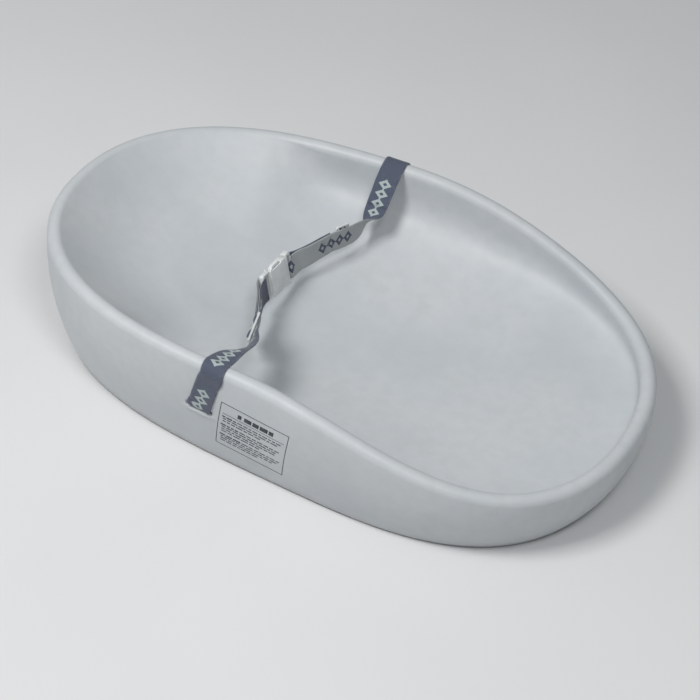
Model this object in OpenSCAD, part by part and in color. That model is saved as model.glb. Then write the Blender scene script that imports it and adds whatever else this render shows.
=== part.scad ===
// Contoured foam changing pad with a webbing safety strap and a side-release buckle.
// Frame: +X towards the baby's feet, +Y the far side, +Z up, base on Z = 0.

/* [Tub] */
// Overall length of the tub
tub_length = 720; // [680:10:780]
// Half width of the rim's centre line at mid-length
rim_half_width = 211; // [195:1:225]
// How much wider the foot end is than the head end, as a fraction
foot_widening = 0.067; // [0:0.005:0.1]
// Height of the rim at the sides
side_height = 150; // [135:1:165]
// Height of the rim at the head end
head_height = 144; // [125:1:160]
// Height of the rim at the foot end
foot_height = 84; // [75:1:110]
// Radius of the rolled rim
rim_radius = 9.5; // [8:0.5:12]
// How far the base edge sits inside the rim's centre line
base_inset = 12; // [6:1:25]
// Height of the inside floor's edge at mid-length
floor_height = 58; // [50:1:65]
// How far the floor dips in its middle
floor_dish = 12; // [3:1:15]
// Width of the sweep from the side wall to the floor's edge
floor_sweep = 88; // [70:1:95]
// How much wider that sweep is at the head end
head_sweep = 32; // [20:1:40]
// How much narrower it is at the foot end
foot_sweep = 44; // [20:1:50]

/* [Strap] */
// Width of the webbing
web_width = 28; // [25:1:30]
// Thickness of the webbing
web_thickness = 1.8; // [1.2:0.1:2]
// Distance of the strap from mid-length, towards the head
strap_x = -48; // [-60:1:-35]
// Height of the slot where the webbing enters the outer wall
slot_height = 84; // [75:1:95]
// Distance from the strap at the rim to the slot, towards the head
slot_shift = 16; // [0:1:20]

/* [Buckle] */
// Width of the buckle over the tongue
buckle_width = 39; // [37:1:42]
// Thickness of the buckle
buckle_thickness = 9; // [8:0.5:10]
// Wall thickness of the moulded plastic
plastic_wall = 1.6; // [1.2:0.1:2]
// Thickness of the slide adjusters
slider_thickness = 2.6; // [2:0.1:3]

/* [Label] */
// Length of the printed panel
label_length = 84; // [60:1:90]
// Height of the printed panel
label_height = 74; // [50:1:80]

/* [Hidden] */

foam_colour = "#c3c8cc";
navy = "#4c586e";
thread_colour = "#8d96a0";
plastic_white = "#dfe2e3";
print_colour = "#2c3038";

// Tub outline: |x/a|^outline_x + |y/b|^outline_y = 1
outline_x = 3.2;
outline_y = 2.17;
rim_half_length = tub_length / 2 - rim_radius;
crest_at = -0.05;       // where the rim is highest, as a fraction of the half length
head_ease = 0.6;
wall_flare = 4;
base_round = 9;
around = 72;
rim_steps = 6;
gap = 0.3;

function unit(v) = v / norm(v);

function rim_y_scale(u) = rim_half_width * (1 + foot_widening * u);

function rim_point(t) = [
    rim_half_length * cos(t),
    rim_y_scale(cos(t)) * sign(sin(t))
        * pow(max(0, 1 - pow(abs(cos(t)), outline_x)), 1 / outline_y)
];

function rim_normal(t) =
    let (d = rim_point(t + 0.5) - rim_point(t - 0.5))
    unit([d[1], -d[0]]);

function offset_point(t, d) = rim_point(t) + d * rim_normal(t);

function ease(s) = (1 - cos(180 * s)) / 2;

// Height of the rim's crest at x
function crest_z(x) =
    let (u = max(-1, min(1, x / rim_half_length)))
    u > crest_at
        ? side_height - (side_height - foot_height) * ease((u - crest_at) / (1 - crest_at))
        : side_height - (side_height - head_height)
            * ease(pow((crest_at - u) / (1 + crest_at), head_ease));

// Height of the inside floor's edge at x: higher under the head, lowest at the feet
function floor_z(x) = let (u = x / rim_half_length) floor_height - 25 * u + 15 * u * u;

// How far the inner wall is a plain slope: 1 at the head end, 0 where it is steep with a tight foot
function slope_share(u) = let (s = max(0, min(1, (-0.3 - u) / 0.3))) s * s * (3 - 2 * s);

function sweep_width(u) =
    floor_sweep + head_sweep * slope_share(u) - foot_sweep * pow(max(0, u), 2);

// Outward offset of the outer wall: v runs from 0 under the rim to 1 at the base
function wall_offset(v) =
    rim_radius * pow(1 - v, 2) + 2 * (1 - v) * v * (rim_radius + wall_flare)
    - base_inset * v * v;

// The inner wall: a share of its drop goes with its run, the rest is a quarter of a superellipse
wall_lean = 0.2;
steep_power = 0.4;
slope_straight = 0.85;
sweep_angles = [1.5, 5, 12, 22, 35, 50, 70, 90];

// How far along its run the inner wall is at sweep angle a
function sweep_run(slope, a) =
    let (straight = slope_straight * slope)
    straight * a / 90 + (1 - straight) * (1 - cos(a));

// How far down its drop the inner wall is at sweep angle a
function sweep_drop(slope, a) =
    (1 - wall_lean) * pow(sin(a), steep_power + (1 - steep_power) * slope)
    + wall_lean * sweep_run(slope, a);

// One ring of the skin at rim angle t: offset outwards and height
function skin(t) =
    let (
        u = cos(t),
        slope = slope_share(u),
        top = crest_z(rim_point(t)[0]) - rim_radius,
        sweep = sweep_width(u),
        inner_x = rim_point(t)[0] - (rim_radius + sweep) * rim_normal(t)[0],
        floor_edge = floor_z(inner_x),
        rim_end = 90 + atan2(top - floor_edge, sweep * slope * slope_straight * 2 / PI),
        start = rim_radius * cos(rim_end),
        start_z = top + rim_radius * sin(rim_end),
        run = start + rim_radius + sweep,
        drop = start_z - floor_edge
    )
    concat(
        [for (a = [0, 30, 60]) [-base_inset - base_round * (1 - sin(a)), base_round * (1 - cos(a))]],
        [for (v = [0.94, 0.8, 0.6, 0.4, 0.2]) [wall_offset(v), top * (1 - v)]],
        [for (i = [0 : rim_steps])
            let (a = rim_end * i / rim_steps)
            [rim_radius * cos(a), top + rim_radius * sin(a)]],
        [for (a = sweep_angles) [start - run * sweep_run(slope, a), start_z - drop * sweep_drop(slope, a)]]
    );

ring_count = len(skin(0));
floor_rings = [0.75, 0.5, 0.25];

function skin_point(t, k) = let (s = skin(t)[k], p = offset_point(t, s[0])) [p[0], p[1], s[1]];

function floor_point(t, g) =
    let (e = skin_point(t, ring_count - 1), x = g * e[0])
    [x, g * e[1], floor_z(x) - floor_dish * (1 - g * g)];

function quads(first, rings, count) = [
    for (k = [0 : rings - 2], i = [0 : count - 1])
        let (a = first + k * count + i, b = first + k * count + (i + 1) % count)
        each [[a, b, b + count], [a, b + count, a + count]]
];

module tub_skin() {
    angles = [for (i = [0 : around - 1]) 360 * i / around];
    wall = [for (k = [0 : ring_count - 1], t = angles) skin_point(t, k)];
    floor_pts = [for (g = floor_rings, t = angles) floor_point(t, g)];
    centre = [0, 0, floor_z(0) - floor_dish];
    rings = ring_count + len(floor_rings);
    last = (rings - 1) * around;
    base_face = [for (i = [around - 1 : -1 : 0]) i];
    cap = [for (i = [0 : around - 1]) [last + i, last + (i + 1) % around, rings * around]];
    faces = concat([base_face], quads(0, rings, around), cap);
    polyhedron(points = concat(wall, floor_pts, [centre]),
               faces = [for (f = faces) [for (i = [len(f) - 1 : -1 : 0]) f[i]]]);
}

// Slots in the outer wall and the bars inside them: side is -1 near, 1 far
slot_x = strap_x - slot_shift;
slot_mouth = 5;
anchor_y = 202;
anchor_z = slot_height - 4;
anchor_radius = 2.5;

module slot_cut(side) {
    translate([slot_x - web_width / 2 - 1.5, side > 0 ? 209 : -240, slot_height - slot_mouth / 2])
        cube([web_width + 3, 31, slot_mouth]);
    translate([slot_x - web_width / 2 - 4, side > 0 ? 193 : -211, anchor_z - 7])
        cube([web_width + 8, 18, 13]);
}

module foam_tub() {
    color(foam_colour)
    difference() {
        tub_skin();
        slot_cut(-1);
        slot_cut(1);
    }
}

module anchor_bar(side) {
    bar_length = web_width + 8;
    color(plastic_white)
    translate([slot_x - bar_length / 2, side * anchor_y, anchor_z])
        rotate([0, 90, 0])
            cylinder(r = anchor_radius, h = bar_length, $fn = 32);
}

module near_anchor_bar() { anchor_bar(-1); }
module far_anchor_bar() { anchor_bar(1); }

// Webbing: a ribbon through stations of [centre, direction of its width]
function station_tangent(s, i) =
    unit(s[min(i + 1, len(s) - 1)][0] - s[max(i - 1, 0)][0]);

function station_width(s, i) =
    let (t = station_tangent(s, i), w = s[i][1])
    unit(w - (w * t) * t);

function station_normal(s, i) = cross(station_tangent(s, i), station_width(s, i));

// Smooth curve through the stations, with steps points between each pair
function spline(a, b, c, d, q) =
    0.5 * (2 * b + (c - a) * q + (2 * a - 5 * b + 4 * c - d) * q * q
           + (3 * b - a - 3 * c + d) * q * q * q);

function smooth(s, steps = 3) =
    let (n = len(s) - 1)
    concat(
        [for (i = [0 : n - 1], k = [0 : steps - 1])
            let (
                a = s[max(i - 1, 0)], b = s[i], c = s[i + 1], d = s[min(i + 2, n)], q = k / steps
            )
            [spline(a[0], b[0], c[0], d[0], q), spline(a[1], b[1], c[1], d[1], q)]],
        [s[n]]
    );

module ribbon(s, width, thickness) {
    n = len(s);
    points = [
        for (i = [0 : n - 1], corner = [[-1, -1], [1, -1], [1, 1], [-1, 1]])
            s[i][0] + corner[0] * width / 2 * station_width(s, i)
                + corner[1] * thickness / 2 * station_normal(s, i)
    ];
    ends = [[0, 1, 2], [0, 2, 3], [4 * n - 2, 4 * n - 3, 4 * n - 4], [4 * n - 1, 4 * n - 2, 4 * n - 4]];
    polyhedron(points = points, faces = concat(ends, [for (f = quads(0, n, 4)) [f[0], f[2], f[1]]]));
}

// Webbing from its anchor bar out of the slot, up the outer wall and over the rim
wrap = anchor_radius + gap + web_thickness / 2;
lift = web_thickness / 2 + 0.7;
along_bar = [1, 0, 0];
strap_angle = acos(strap_x / rim_half_length);
across = let (d = rim_point(strap_angle - 1) - rim_point(strap_angle + 1)) [d[0], d[1], 0];

function wall_y(z) =
    let (t = acos(slot_x / rim_half_length), top = crest_z(slot_x) - rim_radius)
    rim_point(t)[1] + wall_offset(1 - z / top);

function strap_x_at(z) = slot_x + slot_shift * max(0, min(1, (z - slot_height) / 60));

function wall_stations() =
    let (
        rim_y = rim_point(strap_angle)[1],
        rim_z = crest_z(strap_x) - rim_radius,
        over = rim_radius + lift
    )
    concat(
        [[[slot_x, anchor_y + 8, anchor_z - 0.4], along_bar]],
        [for (a = [270, 225, 180, 135, 90])
            [[slot_x, anchor_y + wrap * cos(a), anchor_z + wrap * sin(a)], along_bar]],
        [[[slot_x, anchor_y + 7, slot_height], along_bar]],
        [[[slot_x, wall_y(slot_height) - 2, slot_height], across]],
        [[[slot_x, wall_y(slot_height) + 1, slot_height + 0.6], across]],
        [[[slot_x, wall_y(slot_height) + lift + 0.5, slot_height + 3.5], across]],
        [for (z = [slot_height + 9 : 12 : rim_z - 8]) [[strap_x_at(z), wall_y(z) + lift, z], across]],
        [for (a = [0 : 20 : 120])
            [[strap_x, rim_y + over * cos(a), rim_z + over * sin(a)], across]]
    );

function to_side(s, side) = [
    for (p = s) [[p[0][0], side * p[0][1], p[0][2]], [p[1][0], side * p[1][1], p[1][2]]]
];

module strap_wall(side) {
    s = to_side(wall_stations(), side);
    color(navy)
    ribbon(side > 0 ? s : [for (i = [len(s) - 1 : -1 : 0]) s[i]], web_width, web_thickness);
}

module near_strap_wall() { strap_wall(-1); }
module far_strap_wall() { strap_wall(1); }

module anchor_stitch(side) {
    color(thread_colour)
    for (dy = [5.6, 7.4])
        translate([slot_x - web_width / 2 + 2, side * (anchor_y + dy) - 0.4, anchor_z - 1.8])
            cube([web_width - 4, 0.8, 7.2]);
}

module near_anchor_stitch() { anchor_stitch(-1); }
module far_anchor_stitch() { anchor_stitch(1); }

// Slide adjusters: centre, direction of the bars, and the way the webbing runs through
near_slider_at = [-68, -93.5, 106.2];
near_slider_bar = [0, 0.69, 0.72];
near_slider_run = [-0.36, 0.9, -0.27];
far_slider_at = [-64, 107, 98.6];
far_slider_bar = [0, 0, 1];
far_slider_run = [0.42, 0.9, 0.05];
slider_length = 19;
behind = -(slider_thickness + web_thickness) / 2 - gap;

// A station beside an adjuster: along its run, and off its mid plane
function beside(at, bar, run, along, off) =
    let (x = unit(bar), y = unit(run - (run * x) * x))
    [at + along * y + off * cross(x, y), x];

function near_beside(along, off) =
    beside(near_slider_at, near_slider_bar, near_slider_run, along, off);
function far_beside(along, off) =
    beside(far_slider_at, far_slider_bar, far_slider_run, along, off);

// Free webbing, as the slack strap hangs in the tub
past = slider_length / 2 + 5;
near_span = [
    [[-48, -196, 148.5], [1, 0, 0]],
    [[-47, -174, 141], [0.95, 0.05, 0.3]],
    [[-46, -146, 127], [0.7, 0.2, 0.7]],
    [[-53, -122, 116], [0.2, 0.5, 0.85]],
    near_beside(-past, behind),
    near_beside(0, behind),
    near_beside(slider_length / 2, behind)
];
near_loop = [
    near_beside(past, behind / 2),
    near_beside(past + 5, behind / 2),
    [[-80, -66, 93.5], [-0.05, 0.4, 0.9]],
    [[-86, -49, 94], [-0.15, 0.2, 0.95]],
    [[-91, -37, 95], [-0.22, 0.1, 0.95]],
    [[-95, -27, 95.5], [-0.27, 0, 0.96]]
];
far_span = [
    [[-48, 199, 148.5], [1, 0, 0]],
    [[-48, 186, 137], [1, 0, 0]],
    [[-48, 171, 121], [1, 0, 0.1]],
    [[-48, 154, 107], [0.85, 0.1, 0.4]],
    [[-50, 140, 101], [0.35, 0.2, 0.85]],
    far_beside(past, behind),
    far_beside(0, behind),
    far_beside(-slider_length / 2, behind)
];
far_loop = [
    far_beside(-past, behind / 2),
    [[-76, 82, 95], [-0.05, 0, 1]],
    [[-84, 64, 92], [-0.1, 0.05, 1]],
    [[-91, 50, 90], [-0.2, 0.05, 1]],
    [[-95.5, 41, 89], [-0.27, 0, 0.96]]
];
loop_thickness = 2 * web_thickness + 0.6;

module near_strap_span() { color(navy) ribbon(smooth(near_span), web_width, web_thickness); }
module far_strap_span() { color(navy) ribbon(smooth(far_span), web_width, web_thickness); }
module near_strap_loop() { color(navy) ribbon(smooth(near_loop), web_width, loop_thickness); }
module far_strap_loop() { color(navy) ribbon(smooth(far_loop), web_width, loop_thickness); }

// Rows of thread across the doubled webbing beside its slide adjuster
module loop_stitch(s) {
    color(thread_colour)
    for (i = [2, 3])
        translate(s[i][0])
            multmatrix([for (r = [0 : 2])
                [station_width(s, i)[r], station_tangent(s, i)[r], station_normal(s, i)[r], 0]])
                cube([web_width - 5, 0.8, loop_thickness + 0.6], center = true);
}

module near_loop_stitch() { loop_stitch(smooth(near_loop)); }
module far_loop_stitch() { loop_stitch(smooth(far_loop)); }

// A flat bar shape with rounded corners, centred in x, from y0 to y1
module rounded(width, y0, y1, r) {
    translate([-width / 2 + r, y0]) square([width - 2 * r, y1 - y0]);
    translate([-width / 2, y0 + r]) square([width, y1 - y0 - 2 * r]);
    for (x = [-1, 1], y = [y0 + r, y1 - r])
        translate([x * (width / 2 - r), y]) circle(r = r, $fn = 32);
}

module slab(z0, z1) { translate([0, 0, z0]) linear_extrude(z1 - z0) children(); }

slot_width = web_width + 2;
slider_width = slot_width + 5;
slider_slot = 5;
slider_bar = 3;

module slider() {
    color(plastic_white)
    slab(-slider_thickness / 2, slider_thickness / 2)
        difference() {
            rounded(slider_width, -slider_length / 2, slider_length / 2, 3);
            rounded(slot_width, slider_bar / 2, slider_bar / 2 + slider_slot, 1);
            rounded(slot_width, -slider_bar / 2 - slider_slot, -slider_bar / 2, 1);
        }
}

// Lays local x along w, local y along t as nearly as it can
module aligned(place, w, t) {
    x = unit(w);
    y = unit(t - (t * x) * x);
    z = cross(x, y);
    translate(place)
        multmatrix([for (r = [0 : 2]) [x[r], y[r], z[r], 0]])
            children();
}

module near_slider() { aligned(near_slider_at, near_slider_bar, near_slider_run) slider(); }
module far_slider() { aligned(far_slider_at, far_slider_bar, far_slider_run) slider(); }

// Buckle: x across, y from the housing's strap bar to the tongue's, z through
buckle_at = [-96, 7, 92];
buckle_tilt = -6;
buckle_roll = 74;
housing_width = 34;
plate_width = 27;
mouth_y = 20;
plate_y = -15;
housing_end = -30;
window_y0 = -12;
window_y1 = 9;
half_thick = buckle_thickness / 2;
inside = half_thick - plastic_wall;
tongue_y0 = 22;
tongue_y1 = 32;
guide_width = 6;
prong_root_x = 12;
prong_width = 3.4;
prong_half = 2.2;

module on_buckle() {
    translate(buckle_at) rotate([buckle_tilt, 0, 0]) rotate([0, buckle_roll, 0]) children();
}

module buckle_housing() {
    color(plastic_white)
    on_buckle() {
        for (z = [inside, -half_thick])
            slab(z, z + plastic_wall)
                union() {
                    rounded(plate_width, plate_y, mouth_y, 2);
                    rounded(housing_width, window_y1, mouth_y, 2);
                    rounded(housing_width, plate_y, window_y0, 1.4);
                }
        slab(-inside, inside)
            for (x = [-1, 1])
                translate([x * (housing_width / 2 - plastic_wall / 2) - plastic_wall / 2, window_y1 + 2])
                    square([plastic_wall, mouth_y - window_y1 - 4]);
        slab(-inside, inside)
            translate([-housing_width / 2 + 1, plate_y + 0.8])
                square([housing_width - 2, 1.6]);
        slab(-inside, inside)
            difference() {
                rounded(housing_width, housing_end, plate_y + 2, 3);
                rounded(slot_width, housing_end + 5, plate_y - 2.5, 1.5);
            }
    }
}

module buckle_tongue() {
    color(plastic_white)
    on_buckle() {
        slab(-inside + gap, inside - gap)
            translate([-guide_width / 2, -6])
                square([guide_width, tongue_y0 + 6.5]);
        slab(-half_thick + 0.6, half_thick - 0.6)
            difference() {
                rounded(buckle_width, tongue_y0, tongue_y1, 2);
                rounded(slot_width, tongue_y0 + 3, tongue_y1 - 3, 1.5);
            }
    }
}

// A sprung arm: a straight leg and a wing that stands out through the side window
module prong() {
    color(plastic_white)
    slab(-prong_half, prong_half)
        union() {
            translate([prong_root_x - prong_width / 2, -8])
                square([prong_width, tongue_y0 - gap + 8]);
            polygon([
                [prong_root_x, window_y0 + 1.5],
                [buckle_width / 2 - 3, window_y0 + 3],
                [buckle_width / 2 - 0.5, window_y0 + 7],
                [buckle_width / 2 - 0.5, window_y1 - 3],
                [housing_width / 2, window_y1 - 0.6],
                [prong_root_x, window_y1 - 0.6]
            ]);
        }
}

module left_prong() { on_buckle() mirror([1, 0, 0]) prong(); }
module right_prong() { on_buckle() prong(); }

// Printed panel on the near outer wall: a frame with plain bars
label_x = 5;
label_top = 108;
label_tilt = -4;
label_lean = 0.09;       // how far its side edges lean towards the head on the way down
label_skin = 0.35;
label_lift = 0.15;
label_line = 1.2;

function label_wall(x, z) =
    let (
        t = -acos(max(-1, min(1, x / rim_half_length))),
        v = 1 - z / (crest_z(x) - rim_radius),
        p = offset_point(t, wall_offset(v) + label_skin / 2 + label_lift)
    )
    [x, p[1], z];

function label_place(a, b) =
    let (c = cos(label_tilt), s = sin(label_tilt), leaned = a + label_lean * (b - label_height / 2))
    label_wall(label_x + leaned * c - b * s, label_top - label_height / 2 + leaned * s + b * c);

// A printed line from a to b, in the panel's own plane, and its breadth
module label_bar(a, b, breadth) {
    along = unit(b - a);
    side = [-along[1], along[0]] * breadth / 2;
    steps = max(2, ceil(norm(b - a) / 10));
    s = [for (i = [0 : steps])
        let (m = a + (b - a) * i / steps, low = m - side, high = m + side)
        let (p = label_place(low[0], low[1]), q = label_place(high[0], high[1]))
        [(p + q) / 2, q - p]];
    ribbon(s, breadth, label_skin);
}

module printed_panel() {
    half = (label_length - label_line) / 2;
    tall = (label_height - label_line) / 2;
    color(print_colour) {
        for (side = [-1, 1]) {
            label_bar([-half, side * tall], [half, side * tall], label_line);
            label_bar([side * half, -tall], [side * half, tall], label_line);
        }
        label_bar([-26, tall - 10], [30, tall - 10], 8);
        for (row = [0 : 6])
            label_bar([-half + 5, tall - 21 - 6.5 * row],
                      [half - 6 - 6 * (row % 3), tall - 21 - 6.5 * row], 2);
    }
}

foam_tub();
near_anchor_bar();
far_anchor_bar();
near_strap_wall();
far_strap_wall();
near_anchor_stitch();
far_anchor_stitch();
near_strap_span();
far_strap_span();
near_strap_loop();
far_strap_loop();
near_loop_stitch();
far_loop_stitch();
near_slider();
far_slider();
buckle_housing();
buckle_tongue();
left_prong();
right_prong();
printed_panel();
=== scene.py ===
"""The looks of a contoured foam changing pad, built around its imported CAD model.

The scene is in metres: +X towards the baby's feet, +Y the far side, +Z up, the base on Z = 0.
Shapes are worked out in millimetres, with the same names and formulas as the CAD source, and
MM turns them into metres. Angles are in degrees.
"""

import copy
import math
import random

import bmesh
import bpy
from mathutils import Matrix, Vector, noise


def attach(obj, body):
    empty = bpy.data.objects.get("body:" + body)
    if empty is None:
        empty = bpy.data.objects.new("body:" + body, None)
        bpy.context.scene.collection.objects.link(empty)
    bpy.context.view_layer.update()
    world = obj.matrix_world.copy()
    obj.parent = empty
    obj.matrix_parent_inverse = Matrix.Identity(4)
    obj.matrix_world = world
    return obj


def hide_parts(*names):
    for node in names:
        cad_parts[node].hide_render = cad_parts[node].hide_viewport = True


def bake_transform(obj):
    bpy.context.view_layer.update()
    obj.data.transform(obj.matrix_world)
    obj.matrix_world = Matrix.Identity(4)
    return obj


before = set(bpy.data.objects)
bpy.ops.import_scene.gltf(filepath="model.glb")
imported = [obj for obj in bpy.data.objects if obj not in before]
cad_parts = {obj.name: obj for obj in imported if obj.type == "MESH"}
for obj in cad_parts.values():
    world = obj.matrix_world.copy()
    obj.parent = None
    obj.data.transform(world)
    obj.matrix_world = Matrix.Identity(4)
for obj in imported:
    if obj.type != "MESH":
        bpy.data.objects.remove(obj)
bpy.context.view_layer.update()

MM = 0.001

# Tub, as in the CAD source
RIM_HALF_LENGTH = 350.5
RIM_HALF_WIDTH = 211
FOOT_WIDENING = 0.067
OUTLINE_X = 3.2
OUTLINE_Y = 2.17
SIDE_HEIGHT = 150
HEAD_HEIGHT = 144
FOOT_HEIGHT = 84
CREST_AT = -0.05
HEAD_EASE = 0.6
RIM_RADIUS = 9.5
WALL_FLARE = 4
BASE_INSET = 12
BASE_ROUND = 9
FLOOR_HEIGHT = 58
FLOOR_DISH = 12
FLOOR_SWEEP = 88
HEAD_SWEEP = 32
FOOT_SWEEP = 44
WALL_LEAN = 0.2
STEEP_POWER = 0.4
SLOPE_STRAIGHT = 0.85

# Webbing and its slots
WEB_WIDTH = 28
WEB_THICKNESS = 1.8
NEAR_PATTERN = 62  # how far along its repeat the woven pattern is at the inner end of the webbing
FAR_PATTERN = 31
MOTIF_PERIOD = 0.084  # metres, like the webbing's surface coordinates
MOTIF_LENGTH = 0.048
MOTIF_CELL = 0.012
MOTIF_REACH = 0.0058
MOTIF_HEIGHT = 0.0086
MOTIF_HOLE = 0.36
RIB_PITCH = 0.0008
PICK_PITCH = 0.0007
SPLIT_Y = 165  # where the far webbing is cut into a piece on the rim and a free piece
STRAP_X = -48
SLOT_X = -64
SLOT_HEIGHT = 84
ANCHOR_Y = 202
ANCHOR_Z = 80
ANCHOR_RADIUS = 2.5
LAYER_GAP = 0.3

# Buckle: local x across, y from the housing's strap bar to the tongue's, z through it
BUCKLE_AT = Vector((-96, 7, 92))
BUCKLE_TILT = -6
BUCKLE_ROLL = 74
HALF_THICK = 4.5
PLASTIC_WALL = 1.6
INSIDE = HALF_THICK - PLASTIC_WALL
HOUSING_BAR_Y = -27.5
TONGUE_BAR_Y = 30.5
SLIDER_LENGTH = 19
SLIDER_WIDTH = 35
SLIDER_THICKNESS = 2.6
SLOT_WIDTH = 30

# Printed panel
LABEL_X = 5
LABEL_TOP = 108
LABEL_TILT = -4
LABEL_LENGTH = 84
LABEL_HEIGHT = 74
LABEL_LEAN = 0.09


# Light and floor
SKY_LOW = 0.10  # strength at the horizon and below
SKY_HIGH = 0.32  # strength from SKY_TOP upwards
SKY_TOP = 0.9
AIM = (0, 0, 0.05)
FLOOR_HALF = 4000


# ---------------------------------------------------------------- camera and light

def make_camera():
    """The photograph's view: a long lens from the near, foot side, turned a little in its own plane."""
    right = Vector((0.8822, 0.4657, 0.0699))
    up = Vector((-0.3589, 0.5687, 0.7401))
    data = bpy.data.cameras.new("camera")
    data.sensor_width = 36
    data.lens = 103
    camera = bpy.data.objects.new("camera", data)
    turn = Matrix((right, up, right.cross(up))).transposed().to_4x4()
    camera.matrix_world = Matrix.Translation((0.7078, -1.5547, 1.5703)) @ turn
    bpy.context.scene.collection.objects.link(camera)
    bpy.context.scene.camera = camera


def area_light(name, at, size, power, colour):
    data = bpy.data.lights.new(name, "AREA")
    data.size = size
    data.energy = power
    data.color = colour
    light = bpy.data.objects.new(name, data)
    light.location = at
    light.rotation_euler = (Vector(AIM) - Vector(at)).to_track_quat("-Z", "Y").to_euler()
    bpy.context.scene.collection.objects.link(light)


def make_light():
    """A big soft ceiling: the sky is bright overhead and dim at the horizon, with two soft lights."""
    world = bpy.data.worlds.new("studio")
    world.use_nodes = True
    tree = world.node_tree
    background = tree.nodes["Background"]
    background.inputs["Color"].default_value = (0.93, 0.97, 1.0, 1)
    place = tree.nodes.new("ShaderNodeTexCoord")
    parts = tree.nodes.new("ShaderNodeSeparateXYZ")
    ceiling = tree.nodes.new("ShaderNodeMapRange")
    for key, value in (("From Min", 0.0), ("From Max", SKY_TOP), ("To Min", SKY_LOW), ("To Max", SKY_HIGH)):
        ceiling.inputs[key].default_value = value
    tree.links.new(place.outputs["Generated"], parts.inputs[0])
    tree.links.new(parts.outputs["Z"], ceiling.inputs["Value"])
    tree.links.new(ceiling.outputs["Result"], background.inputs["Strength"])
    bpy.context.scene.world = world
    bpy.context.scene.view_settings.view_transform = "Standard"
    area_light("key", (-0.9, -1.35, 2.45), 0.9, 49, (1.0, 0.995, 0.985))
    area_light("second", (0.95, -1.1, 2.4), 0.7, 19, (0.985, 0.995, 1.0))


# ---------------------------------------------------------------- materials


class Material:
    """A material with a Principled shader, and short calls that add the nodes feeding it."""

    def __init__(self, name, **fixed):
        self.data = bpy.data.materials.new(name)
        self.data.use_nodes = True
        self.tree = self.data.node_tree
        self.shader = self.tree.nodes["Principled BSDF"]
        for words, value in fixed.items():
            self.shader.inputs[words.replace("_", " ")].default_value = value

    def feed(self, socket, value):
        if isinstance(value, bpy.types.NodeSocket):
            self.tree.links.new(value, socket)
        else:
            socket.default_value = value

    def node(self, kind, inputs, output=0, **settings):
        made = self.tree.nodes.new(kind)
        for key, value in settings.items():
            setattr(made, key, value)
        for key, value in inputs.items():
            self.feed(made.inputs[key], value)
        return made.outputs[output]

    def math(self, operation, *values):
        return self.node("ShaderNodeMath", dict(enumerate(values)), operation=operation)

    def ramp(self, value, low, high, to_low=0.0, to_high=1.0):
        """value from low to high becomes to_low to to_high, smoothly and clamped."""
        spread = {0: value, 1: low, 2: high, 3: to_low, 4: to_high}
        return self.node("ShaderNodeMapRange", spread, interpolation_type="SMOOTHSTEP")

    def noise(self, scale, detail=2.0, vector=None):
        vector = vector or self.node("ShaderNodeTexCoord", {}, "Object")
        inputs = {"Vector": vector, "Scale": scale, "Detail": detail}
        return self.node("ShaderNodeTexNoise", inputs, "Fac")

    def mix(self, factor, a, b):
        inputs = {0: factor, 6: a, 7: b}
        return self.node("ShaderNodeMix", inputs, 2, data_type="RGBA")

    def uv(self):
        """The two surface coordinates in metres: along the webbing and across it."""
        place = self.node("ShaderNodeTexCoord", {}, "UV")
        return [self.node("ShaderNodeSeparateXYZ", {0: place}, k) for k in (0, 1)]

    def xyz(self):
        place = self.node("ShaderNodeTexCoord", {}, "Object")
        return [self.node("ShaderNodeSeparateXYZ", {0: place}, k) for k in (0, 1, 2)]

    def bump(self, height, distance, strength=1.0, normal=None):
        inputs = {"Height": height, "Distance": distance, "Strength": strength}
        if normal:
            inputs["Normal"] = normal
        return self.node("ShaderNodeBump", inputs)

    def finish(self, colour, roughness, normal):
        self.feed(self.shader.inputs["Base Color"], colour)
        self.feed(self.shader.inputs["Roughness"], roughness)
        self.feed(self.shader.inputs["Normal"], normal)
        return self.data


def foam_material():
    """Moulded foam with a soft satin skin: cloudy colour, fine pores and slight handling marks."""
    m = Material("foam_skin", Specular_IOR_Level=0.4, Sheen_Weight=0.06, Sheen_Roughness=0.5)
    clouds = m.ramp(m.noise(7, 4), 0.35, 0.68)
    mottle = m.ramp(m.noise(70, 3), 0.35, 0.7)
    colour = m.mix(clouds, (0.51, 0.54, 0.565, 1), (0.565, 0.585, 0.605, 1))
    colour = m.mix(m.math("MULTIPLY", mottle, 0.35), colour, (0.49, 0.515, 0.53, 1))
    smudge = m.math("MULTIPLY", m.ramp(m.noise(16, 6), 0.62, 0.78), 0.22)
    colour = m.mix(smudge, colour, (0.40, 0.42, 0.43, 1))
    # Painted shade: the lowest 20 mm of the foam, next to the floor, is painted darker towards the base.
    low = m.ramp(m.xyz()[2], 0.0, 0.02, 0.25, 0.0)
    colour = m.mix(low, colour, (0.38, 0.38, 0.37, 1))
    roughness = m.ramp(m.noise(24, 4), 0.3, 0.7, 0.40, 0.52)
    pores = m.bump(m.noise(1500, 2), 0.00012, 0.5)
    skin = m.bump(m.noise(260, 3), 0.0003, 0.35, pores)
    return m.finish(colour, roughness, skin)


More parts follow.
